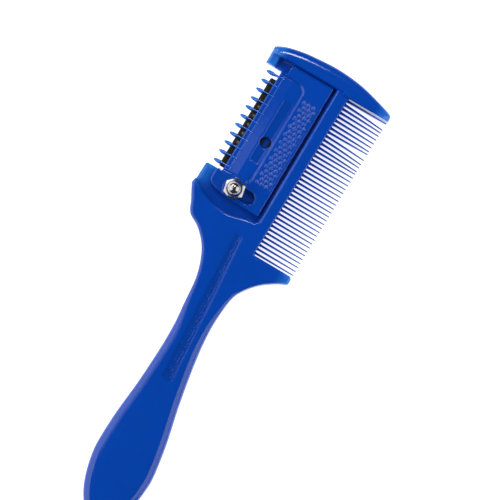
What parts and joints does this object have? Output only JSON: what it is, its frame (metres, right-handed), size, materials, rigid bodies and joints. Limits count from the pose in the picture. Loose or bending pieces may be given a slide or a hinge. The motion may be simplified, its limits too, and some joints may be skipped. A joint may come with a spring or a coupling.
{
  "type": "dematting comb",
  "caption": "Flat plastic grooming comb: a clamped double-edge blade behind guard teeth on one side, a fine comb on the other, and a flared handle.",
  "frame": {"origin": "middle of the bounding box in plan, at the flat back that the comb rests on", "axes": "+Y from the handle's end to the bow, +X from the blade side to the fine comb side, +Z out of the face that has the nut"},
  "size_m": [0.0494, 0.183, 0.014],
  "materials": {
    "cobalt_plastic": "glossy injection-moulded polystyrene, cobalt blue",
    "dark_blade_steel": "thin stainless steel with a dark coating",
    "zinc_plate": "bright zinc-plated steel",
    "chrome_plate": "polished chrome"
  },
  "bodies": {
    "frame": {"comb_body": "cobalt_plastic", "clamp_screw": "zinc_plate"},
    "carrier": {"blade_carrier": "cobalt_plastic", "razor_blade": "dark_blade_steel"},
    "washer": {"spring_washer": "zinc_plate"},
    "nut": {"dome_nut": "chrome_plate"}
  },
  "joints": [
    {"name": "carrier_slide", "type": "slide", "parent": "frame", "child": "carrier", "axis": [-1, 0, 0], "range_m": [0, 0.0052]},
    {"name": "washer_lift", "type": "slide", "parent": "frame", "child": "washer", "axis": [0, 0, 1], "range_m": [0, 0.0021]},
    {"name": "nut_turn", "type": "hinge", "parent": "washer", "child": "nut", "pos_m": [-0.0101, 0.035, 0.012], "axis": [0, 0, 1], "range_deg": [0, 1080]}
  ],
  "couplings": [
    {"joint": "nut_turn", "follows": "washer_lift", "rad_per_m": 8976}
  ]
}
